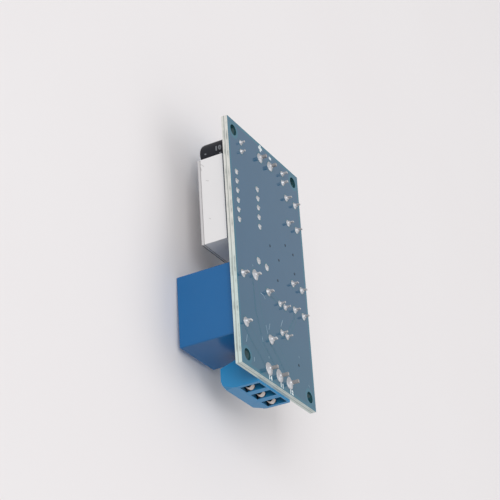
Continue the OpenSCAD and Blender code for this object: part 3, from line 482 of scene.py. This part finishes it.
def wound_copper():
    """Enamelled copper wound in layers: turns in relief, with light and shade painted on them in bands,
    drawn coarser than the fine wire of such a coil so that they show."""
    turn_mm = 0.12
    relief_mm = 0.05
    made, tree, shader, place = start("wound_enamelled_copper", {"Metallic": 1.0, "Roughness": 0.3})
    turns = add(tree, "ShaderNodeTexWave", {"Vector": place, "Scale": WAVE / turn_mm, "Distortion": 0.4},
                bands_direction="Y")
    # Painted light and shade: the copper is tinted dark and bright in bands along the turns
    tint = add(tree, "ShaderNodeMix", {FACTOR: turns, FIRST: linear("#7E3F1E"), SECOND: linear("#C8743A")},
               data_type="RGBA")
    relief = add(tree, "ShaderNodeBump", {"Height": turns, "Distance": relief_mm * MM, "Strength": 1.0})
    tree.links.new(tint.outputs[RESULT], shader.inputs["Base Color"])
    tree.links.new(relief.outputs[0], shader.inputs["Normal"])
    return made


def soft_iron():
    """Soft iron, bright nickel-plated: grey with a warm cast, and tinned at the lead."""
    return tinned_leads(metal("plated_soft_iron", "#C6C2BC", "#A7A29B",
                              rough=0.34, grain_mm=0.4, relief_mm=0.005))


def contact_bronze():
    """Rolled phosphor bronze of springs and contacts: golden inside the relay, tinned grey at its leads."""
    return tinned_leads(metal("rolled_phosphor_bronze", "#D7B26A", "#B98F4E",
                              rough=0.4, grain_mm=0.25, relief_mm=0.004))


def clamp_zinc():
    """Pressed steel, zinc plated: cool grey with cloudy patches, and tinned a duller grey at the leads."""
    return tinned_leads(metal("zinc_plated_steel", "#CDCDCA", "#A5A49F",
                              rough=0.42, grain_mm=0.5, relief_mm=0.006), "#9B9898")


def shaded_guard_steel():
    """Spring steel of the wire guards: dull, and painted dark as the shade deep in the openings."""
    return metal("blued_spring_steel", "#5D5A5B", "#3F3D40", rough=0.45, grain_mm=0.4, relief_mm=0.008)


def guard_tin():
    """Tin-plated lip of a wire guard: pale and matt, so that it shows bright in its dark opening."""
    return metal("matt_tin_plate", "#E2DBD6", "#C9C0BA", rough=0.5, grain_mm=0.4, relief_mm=0.008)


def button_black():
    """Glass-filled polyamide of the buttons: black and slightly rough."""
    return moulded("moulded_polyamide_black", "#1D1D1F", "#26262A",
                   rough=0.45, grain_mm=0.2, relief_mm=0.008, level=0.4)


def button_steel():
    """Brushed stainless cover plate of a button: pale and satin, with a fine grain."""
    return metal("brushed_stainless", "#D2D2D0", "#AEADAA", rough=0.3, grain_mm=0.2, relief_mm=0.005)


def lamp_epoxy():
    """Red diffused epoxy lens: deep colour that lets some light through."""
    haze_mm = 1.25
    made, tree, shader, place = start(
        "diffused_red_epoxy", {"IOR": 1.53, "Roughness": 0.12, "Transmission Weight": 0.35})
    haze = add(tree, "ShaderNodeTexNoise", {"Vector": place, "Scale": 1 / haze_mm, "Detail": 2.0})
    tint = add(tree, "ShaderNodeMix", {FACTOR: haze, FIRST: linear("#D8281F"), SECOND: linear("#E9483A")},
               data_type="RGBA")
    tree.links.new(tint.outputs[RESULT], shader.inputs["Base Color"])
    return made


def ceramic_dip():
    """Phenolic dip on ceramic: ochre, with small pits and runs."""
    return moulded("phenolic_dipped_ceramic", "#C48A3F", "#B07833", rough=0.42, grain_mm=0.5, relief_mm=0.03)


# The resistor's rings, as shares of its length
BANDS = ((0.16, "#6B3F22"), (0.36, "#1C1B1A"), (0.52, "#A9291F"), (0.84, "#B8913F"))


def resistor_lacquer():
    """Lacquered film resistor: sand-coloured, dipped, with painted rings."""
    low, high = box_mm("resistor_body")
    rings = [(low.x + (high.x - low.x) * share, paint) for share, paint in BANDS]
    return ringed("lacquered_film_resistor", "#D7BC8A", "#CBAE79",
                  rough=0.32, run_mm=1 / 2, ring_mm=0.36, rings=rings)


def diode_epoxy():
    """Moulded epoxy diode: black, with one silver ring painted at its cathode end."""
    ring_at_mm = 0.8
    rings = [(box_mm("diode_body")[0].x + ring_at_mm, "#C9C9C6")]
    return ringed("moulded_epoxy_diode", "#1A1A1B", "#242425",
                  rough=0.35, run_mm=1 / 3, ring_mm=0.7, rings=rings)


def chip_epoxy():
    """Transfer-moulded epoxy: charcoal and matt, with the grit of its filler."""
    return moulded("transfer_moulded_epoxy", "#232326", "#2B2B2E",
                   rough=0.55, grain_mm=0.12, relief_mm=0.01, level=0.4)


FINISHES = {
    "board_laminate": solder_mask, "solder": tin_solder, "tinned_lead": tinned_copper,
    "display_white": white_shell, "display_film": face_ink, "display_bars": light_bars,
    "potting_resin": potting, "can_aluminium": can_metal, "sleeve_black": shrink_sleeve,
    "bung_rubber": bung_rubber, "relay_blue": relay_blue, "soft_iron": soft_iron,
    "bobbin_plastic": bobbin_plastic, "copper_wire": wound_copper, "contact_metal": contact_bronze,
    "terminal_blue": terminal_blue, "clamp_metal": clamp_zinc, "button_black": button_black,
    "button_steel": button_steel, "lamp_red": lamp_epoxy, "ceramic_tan": ceramic_dip,
    "resistor_tan": resistor_lacquer, "epoxy_black": chip_epoxy}
finish = {slot: make() for slot, make in FINISHES.items()}
own_finish = {"diode_body": diode_epoxy()}
# The guards' dark grey is painted shade for the depth of the openings
own_finish["output_wire_guards"] = own_finish["input_wire_guards"] = shaded_guard_steel()

for part in frame["record"]["subparts"]:
    cad = frame["nodes"][part["node"]]
    for holder in cad.material_slots:
        holder.material = own_finish.get(part["node"], finish[part["material_slot"]])


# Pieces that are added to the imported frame


class Sheet:
    """A mesh under construction, in millimetres."""

    def __init__(self):
        self.bm = bmesh.new()

    def ring(self, points):
        """Adds points as the corners of a ring."""
        return [self.bm.verts.new(p) for p in points]

    def bridge(self, first, second):
        """Joins two rings by a band of faces."""
        count = len(first)
        for i in range(count):
            after = (i + 1) % count
            self.bm.faces.new((first[i], first[after], second[after], second[i]))

    def close(self, first, second):
        """Makes a solid of two rings: the band between them, and a face on each."""
        self.bridge(first, second)
        self.bm.faces.new(first)
        self.bm.faces.new(second)


def piece(name, sheet, material):
    """A sheet's mesh as a piece that rides on the module."""
    bmesh.ops.recalc_face_normals(sheet.bm, faces=sheet.bm.faces)
    bmesh.ops.scale(sheet.bm, vec=(MM,) * 3, verts=sheet.bm.verts)
    data = bpy.data.meshes.new(name)
    sheet.bm.to_mesh(data)
    sheet.bm.free()
    data.materials.append(material)
    made = bpy.data.objects.new(name, data)
    bpy.context.scene.collection.objects.link(made)
    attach(made, BODY)
    return made


def solids_of(node):
    """The separate solids of a node, each as a list of points in millimetres, in a fixed order."""
    mesh = frame["nodes"][node].data
    keys = [tuple(round(c / MM, WELD_DIGITS) for c in v.co) for v in mesh.vertices]
    parent = {key: key for key in keys}

    def root(key):
        while parent[key] != key:
            parent[key] = parent[parent[key]]
            key = parent[key]
        return key

    for face in mesh.polygons:
        corners = [keys[i] for i in face.vertices]
        for corner in corners[1:]:
            parent[root(corner)] = root(corners[0])
    groups = {}
    for key in sorted(parent):
        groups.setdefault(root(key), []).append(Vector(key))
    return [groups[key] for key in sorted(groups)]


# How far the solder spread on some leads, as a share of the usual
SPREAD = {"display_leads": 1.06, "disc_capacitor_leads": 1.1, "relay_coil_leads": 0.82}
# The leads that were trimmed to the board, the nearly flat solder over them, and what stands out of it
TRIMMED = ("display_leads", "disc_capacitor_leads")
FLAT_H = 0.28
STUB_H = 0.06
# Solder thins out where it creeps up a lead
CREEP = 0.82


def joint_sizes():
    """Each solder joint's X, Z, radius at the board, radius at its top, and height."""
    top_mm = 0.01
    found = []
    spots = {node: box_mm(node) for node in SPREAD}
    for points in solids_of("solder_joints"):
        low, high = span(points)
        centre = (low + high) / 2
        top = [p for p in points if p.y > high.y - top_mm]
        neck = CREEP * max(math.hypot(p.x - centre.x, p.z - centre.z) for p in top)
        foot, height = (high.x - low.x) / 2, high.y
        for node, (first, last) in spots.items():
            if first.x < centre.x < last.x and first.z < centre.z < last.z:
                foot *= SPREAD[node]
                height = FLAT_H if node in TRIMMED else height
        found.append((centre.x, centre.z, foot, neck, height))
    return found


joints = joint_sizes()


def solder_fillets():
    """Solder that wetted each lead and its pad: concave, lopsided and a little different each time."""
    rng = random.Random(11)
    sides = 32
    steps = 9
    lobes = 3
    sheet = Sheet()
    for x, z, foot, neck, height in joints:
        lean = rng.uniform(0, 2 * math.pi)
        lobe = rng.uniform(0, 2 * math.pi)
        bias = rng.uniform(0.03, 0.1)
        ripple = rng.uniform(0.02, 0.05)
        power = rng.uniform(1.5, 2.2)
        slump = rng.uniform(0.04, 0.14)
        last = None
        for step in range(steps + 1):
            t = step / steps
            points = []
            for side in range(sides):
                angle = 2 * math.pi * side / sides
                swell = bias * math.cos(angle - lean) + ripple * math.cos(lobes * angle - lobe) - bias
                reach = (neck + (foot - neck) * (1 - t) ** power) * (1 + (1 - t) * swell)
                sink = slump * t * (0.5 + 0.5 * math.cos(angle - lobe))
                points.append((x + reach * math.cos(angle), height * t * (1 - sink),
                               z + reach * math.sin(angle)))
            rung = sheet.ring(points)
            if last:
                sheet.bridge(last, rung)
            else:
                sheet.bm.faces.new(rung)
            last = rung
        tip = sheet.bm.verts.new((x, height, z))
        for side in range(sides):
            sheet.bm.faces.new((last[side], last[(side + 1) % sides], tip))
    for face in sheet.bm.faces:
        face.smooth = True
    made = piece("solder_fillets", sheet, finish["solder"])
    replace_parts(made, "solder_joints")


def trimmed_leads():
    """The leads that end in the flat joints, cut to just above the solder."""
    for node in TRIMMED:
        sheet = Sheet()
        sheet.bm.from_mesh(frame["nodes"][node].data)
        for vert in sheet.bm.verts:
            vert.co /= MM
            vert.co.y = min(vert.co.y, FLAT_H + STUB_H)
        bmesh.ops.remove_doubles(sheet.bm, verts=sheet.bm.verts, dist=WELD)
        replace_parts(piece(node + "_trimmed", sheet, finish["tinned_lead"]), node)


# The bright lip of a wire guard: back from its tip and up from its lowest point
LIP = ((0.9, 0.44), (0.5, 1.36), (0.74, 1.95), (1.2, 2.5), (0.62, 2.79),
       (0.27, 2.5), (0.0, 2.02), (0.0, 1.51), (0.36, 0.89))
LIP_T = 0.1
# How far the lip sits in from the guard's side, and how much further for each millimetre back
LIP_SEAT = 0.3
LIP_SLOPE = 0.58


def guard_lips():
    """The slanted lip that leads a wire under each screw, one in each opening."""
    sheet = Sheet()
    for node, way in (("output_wire_guards", 1), ("input_wire_guards", -1)):
        for points in solids_of(node):
            low, high = span(points)
            tip, side = (high.x, low.z) if way > 0 else (low.x, high.z)
            rings = []
            for t in (0, LIP_T):
                rings.append(sheet.ring(
                    [(tip - way * far, low.y + up, side + way * (LIP_SEAT + far * LIP_SLOPE - t))
                     for far, up in LIP]))
            sheet.close(*rings)
    piece("guard_lips", sheet, guard_tin())


def plate(sheet, outline, low, high):
    """A closed thin plate on the soldered face, from an outline of X and Z."""
    sheet.close(*(sheet.ring([(x, y, z) for x, z in outline]) for y in (low, high)))


def washer(sheet, x, z, inner, outer, low, high):
    """A closed flat ring on the soldered face."""
    sides = 40
    turns = [2 * math.pi * i / sides for i in range(sides)]
    rings = [sheet.ring([(x + r * math.cos(a), y, z + r * math.sin(a)) for a in turns])
             for r, y in ((inner, low), (outer, low), (outer, high), (inner, high))]
    for first, second in zip(rings, rings[1:] + rings[:1]):
        sheet.bridge(first, second)


def ribbon_outline(route, width):
    """The outline of a track of one width along a route, with mitred corners."""
    least_turn = 0.5
    left, right = [], []
    for i, here in enumerate(route):
        before = (here - route[i - 1]).normalized() if i else None
        after = (route[i + 1] - here).normalized() if i + 1 < len(route) else None
        ahead = ((before or after) + (after or before)).normalized()
        normal = Vector((-ahead.y, ahead.x))
        stretch = 1 / max(least_turn, ahead.dot(after or before))
        left.append(here + normal * width / 2 * stretch)
        right.append(here - normal * width / 2 * stretch)
    return [tuple(p) for p in left + right[::-1]]


# Thin layers on the soldered face, each with its own top
PAD_TOP = 0.006
GAP_TOP = 0.012
TRACK_TOP = 0.024
PRINT_TOP = 0.03

# Tracks that part from the copper pour: width, then points along and down the board
TRACKS = (
    (2.6, ((53.0, 3.1), (55.4, 5.4), (58.6, 10.6), (61.1, 12.9))),
    (2.4, ((39.2, 9.1), (48.0, 9.6), (54.4, 12.0), (58.2, 17.0), (61.1, 18.0))),
    (2.4, ((53.0, 15.1), (55.0, 18.6), (58.4, 22.2), (61.1, 23.1))),
    (0.9, ((40.8, 15.1), (40.9, 18.0), (41.5, 20.9))),
    (0.6, ((49.1, 23.4), (46.0, 26.0), (43.0, 28.4), (40.1, 28.75))),
)
VIAS = ((27.4, 17.9), (23.7, 26.2), (24.6, 30.1), (29.5, 22.1), (29.8, 30.2), (35.5, 20.7), (54.6, 28.6))
TRACK_GAP = 0.4
PAD_GAP = 0.3
# A pad's gap starts under its joint, at this share of the joint's radius
PAD_UNDER = 0.8
VIA_R = 0.34
# The pinhole in the middle of a via, as a share of its radius
VIA_PIN = 0.1


def track_layers():
    """The gaps round pads and tracks, the tracks' copper under the same mask as the pour, and the vias."""
    gaps, copper, holes = Sheet(), Sheet(), Sheet()
    for x, z, foot, _, _ in joints:
        washer(gaps, x, z, foot * PAD_UNDER, foot + PAD_GAP, 0, PAD_TOP)
    for width, stops in TRACKS:
        route = [Vector(on_board(*stop)) for stop in stops]
        plate(gaps, ribbon_outline(route, width + 2 * TRACK_GAP), 0, GAP_TOP)
        plate(copper, ribbon_outline(route, width), 0, TRACK_TOP)
    for stop in VIAS:
        washer(holes, *on_board(*stop), VIA_R * VIA_PIN, VIA_R, 0, PRINT_TOP)
    # The vias' dark dots are painted shade
    piece("via_holes", holes, via_shade())
    piece("track_gaps", gaps, bare_mask())
    piece("track_copper", copper, finish["board_laminate"])


# Share of a letter's size added to each stroke, so that the print shows at the photograph's distance
STROKE = 0.07
LETTER_SPACE = 1.25
# Letters are sliced across, to bend round a sleeve, and the shift keeps the slices off their own edges
SLICE = 0.2
SLICE_SHIFT = 0.37
SLICE_STEPS = range(-9, 10)


def lettering(sheet, text, size, put):
    """Adds a printed number or sign to a sheet, with each of its points placed by a function."""
    curve = bpy.data.curves.new("print", "FONT")
    curve.body = text
    curve.size = size
    curve.align_x = "CENTER"
    curve.align_y = "CENTER"
    curve.extrude = PRINT_TOP / 2
    curve.offset = STROKE * size
    curve.space_character = LETTER_SPACE
    carrier = bpy.data.objects.new("print", curve)
    shape = bpy.data.meshes.new_from_object(carrier)
    sliced = bmesh.new()
    sliced.from_mesh(shape)
    bmesh.ops.remove_doubles(sliced, verts=sliced.verts, dist=WELD)
    for step in SLICE_STEPS:
        bmesh.ops.bisect_plane(sliced, geom=sliced.verts[:] + sliced.edges[:] + sliced.faces[:],
                               plane_co=(0, (step + SLICE_SHIFT) * SLICE, 0), plane_no=(0, 1, 0))
    for vert in sliced.verts:
        vert.co = put(*vert.co)
    sliced.to_mesh(shape)
    sheet.bm.from_mesh(shape)
    sliced.free()
    bpy.data.objects.remove(carrier)
    bpy.data.curves.remove(curve)
    bpy.data.meshes.remove(shape)


# Each mark's text, its place along and down the board, and its size
POLE_MARKS = (("14", 63.2, 13.3, 1.45), ("11", 63.2, 18.9, 1.45), ("12", 63.2, 23.6, 1.45),
              ("+", 1.4, 16.3, 3.0), ("-", 1.4, 21.3, 3.0))


def pole_marks():
    """Numbers at the output poles and signs at the input poles, on the soldered face."""
    sheet = Sheet()
    for text, along, down, size in POLE_MARKS:
        x, z = on_board(along, down)
        lettering(sheet, text, size, lambda px, py, pz: (x - py, pz + PRINT_TOP / 2, z - px))
    piece("pole_marks", sheet, print_ink())


# Each mark's text, distance from the board, turn from the upper edge towards the output end, and size
SLEEVE_MARKS = (("10", 2.9, 4, 1.5), ("-", 2.5, 26, 1.5), ("-", 6.4, 12, 1.2))


def sleeve_print():
    """The capacitor's printed value, one plain number, and the minus signs of its negative lead."""
    low, high = box_mm("capacitor_sleeve")
    centre = (low + high) / 2
    radius = (high.x - low.x) / 2
    sheet = Sheet()
    for text, from_board, degrees, size in SLEEVE_MARKS:
        def put(px, py, pz):
            turn = math.radians(degrees) - py / radius
            far = radius + pz
            return (centre.x + far * math.sin(turn), board_low.y - from_board + px,
                    centre.z + far * math.cos(turn))
        lettering(sheet, text, size, put)
    piece("sleeve_print", sheet, sleeve_ink())


# Scratches seen on the soldered face, along and down the board, and on the display's upper side, as X and Y
MASK_SCUFFS = (
    ((56.2, 3.2), (57.0, 3.0), (58.2, 2.6)), ((60.7, 6.0), (61.8, 5.9)), ((45.5, 21.7), (47.6, 20.5)),
    ((49.0, 14.9), (50.8, 14.2)), ((50.2, 12.9), (52.2, 13.5)), ((42.6, 11.3), (42.6, 12.5), (43.4, 13.4)),
    ((53.6, 10.5), (55.2, 10.8)), ((58.1, 33.0), (58.5, 33.4)), ((36.5, 8.0), (36.9, 8.3)),
    ((57.9, 13.2), (58.3, 13.4)), ((52.1, 28.9), (52.5, 29.1)), ((60.0, 10.8), (60.4, 11.0)),
)
SHELL_SCUFFS = (
    ((-21.6, -8.3), (-20.8, -7.5)), ((-21.2, -8.5), (-19.8, -8.2)), ((-16.9, -7.2), (-16.5, -6.4)),
    ((-6.7, -6.9), (-6.3, -6.4)),
)
SCUFF_W = 0.16
SCUFF_TOP = 0.02


def scuffs():
    """Thin scratch marks on the soldered face and on the upper side of the display."""
    board, shell = Sheet(), Sheet()
    for stops in MASK_SCUFFS:
        plate(board, ribbon_outline([Vector(on_board(*stop)) for stop in stops], SCUFF_W), 0, SCUFF_TOP)
    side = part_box("display_shell")[1].z / MM
    for stops in SHELL_SCUFFS:
        plate(shell, ribbon_outline([Vector(stop) for stop in stops], SCUFF_W), side, side + SCUFF_TOP)
    for vert in shell.bm.verts:
        vert.co = vert.co.xzy
    piece("mask_scuffs", board, scuff_mask())
    piece("shell_scuffs", shell, scuff_shell())


# Stage: table, light and camera

# The table's half width and its gap from the relay, in metres, its tilt in degrees, and its paint
TABLE_REACH = 2.0
TABLE_GAP = 0.0001
TABLE_TILT = 2.9
TABLE_PALE = "#E9E6E7"
TABLE_WORN = "#E7E3E4"
# The world's strength as light, and as the background that is seen
AMBIENT = 0.6
BACKGROUND = 0.8
# Each lamp's watts, its width and where it stands, in metres
LAMPS = {"key": (43.0, 1.8, (0.0, 1.6, 2.2)), "fill": (10.4, 1.8, (0.4, 2.0, -1.2))}


def shown(tree):
    """Whether a ray comes from the camera, straight or by way of gloss or glass."""
    ray = add(tree, "ShaderNodeLightPath")
    seen = ray.outputs["Is Camera Ray"]
    for other in ("Is Glossy Ray", "Is Transmission Ray"):
        seen = add(tree, "ShaderNodeMath", {0: seen, 1: ray.outputs[other]}, operation="MAXIMUM").outputs[0]
    return seen


def table_paint():
    """Painted board: pale and matt with slow, faint clouds, and clear to a camera behind it."""
    cloud_mm = 60
    made, tree, shader, place = start("painted_board", {"Roughness": 0.7, "Specular IOR Level": 0.2})
    clouds = add(tree, "ShaderNodeTexNoise", {"Vector": place, "Scale": 1 / cloud_mm, "Detail": 2.0})
    tint = add(tree, "ShaderNodeMix",
               {FACTOR: clouds, FIRST: linear(TABLE_PALE), SECOND: linear(TABLE_WORN)}, data_type="RGBA")
    tree.links.new(tint.outputs[RESULT], shader.inputs["Base Color"])
    side = add(tree, "ShaderNodeNewGeometry")
    seen = add(tree, "ShaderNodeMath", {0: shown(tree), 1: side.outputs["Backfacing"]},
               operation="GREATER_THAN")
    clear = add(tree, "ShaderNodeBsdfTransparent")
    both = add(tree, "ShaderNodeMixShader", {0: seen, 1: clear, 2: shader})
    tree.links.new(both.outputs[0], tree.nodes["Material Output"].inputs["Surface"])
    return made


def table():
    """The photograph's pale table. The module lies there on its relay, soldered face up and tilted a little,
    so here the table stands beside the relay, and a camera behind it looks through it."""
    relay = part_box("relay_cover")[0]
    slope = -math.tan(math.radians(TABLE_TILT))
    reach = TABLE_REACH
    corners = [(x, relay.y - TABLE_GAP + slope * (x - relay.x), z)
               for x, z in ((-reach, -reach), (-reach, reach), (reach, reach), (reach, -reach))]
    data = bpy.data.meshes.new("table")
    data.from_pydata(corners, [], [(0, 1, 2, 3)])
    data.materials.append(table_paint())
    made = bpy.data.objects.new("table", data)
    bpy.context.scene.collection.objects.link(made)


def light():
    """Soft light from all round, a large lamp above the soldered side, and a weak one across from it."""
    world = bpy.data.worlds.new("soft_room")
    bpy.context.scene.world = world
    world.use_nodes = True
    tree = world.node_tree
    background = tree.nodes["Background"]
    background.inputs["Color"].default_value = linear("#FFFFFF")
    level = add(tree, "ShaderNodeMapRange", {"Value": shown(tree), "To Min": AMBIENT, "To Max": BACKGROUND})
    tree.links.new(level.outputs[0], background.inputs["Strength"])
    for name, (watts, size, at) in LAMPS.items():
        lamp = bpy.data.lights.new(name, "AREA")
        lamp.energy = watts
        lamp.size = size
        made = bpy.data.objects.new(name, lamp)
        made.location = at
        made.rotation_mode = "QUATERNION"
        made.rotation_quaternion = (-made.location).to_track_quat("-Z", "Y")
        bpy.context.scene.collection.objects.link(made)


# The photograph's camera: found from the lead spacings, in degrees and millimetres
CAMERA_AZIMUTH = 131.01
CAMERA_ELEVATION = 52.06
CAMERA_ROLL = -51.59
CAMERA_DISTANCE = 412.85
CAMERA_AIM = Vector((-3.05, -3.59, 3.63))
CAMERA_LENS = 125.76
CAMERA_NEAR = 10
SENSOR = 36


def camera():
    """The camera at the photograph's angle, with its roll."""
    turn, rise = math.radians(CAMERA_AZIMUTH), math.radians(CAMERA_ELEVATION)
    back = Vector((math.sin(turn) * math.cos(rise), -math.cos(turn) * math.cos(rise), math.sin(rise)))
    data = bpy.data.cameras.new("photo_camera")
    data.lens = CAMERA_LENS
    data.sensor_width = SENSOR
    data.clip_start = CAMERA_NEAR * MM
    made = bpy.data.objects.new("photo_camera", data)
    made.location = (CAMERA_AIM + back * CAMERA_DISTANCE) * MM
    made.rotation_mode = "QUATERNION"
    roll = Quaternion((0, 0, 1), math.radians(CAMERA_ROLL))
    made.rotation_quaternion = (-back).to_track_quat("-Z", "Y") @ roll
    bpy.context.scene.collection.objects.link(made)
    bpy.context.scene.camera = made


solder_fillets()
trimmed_leads()
guard_lips()
track_layers()
pole_marks()
sleeve_print()
scuffs()
table()
light()
camera()
bpy.context.scene.view_settings.view_transform = "Standard"
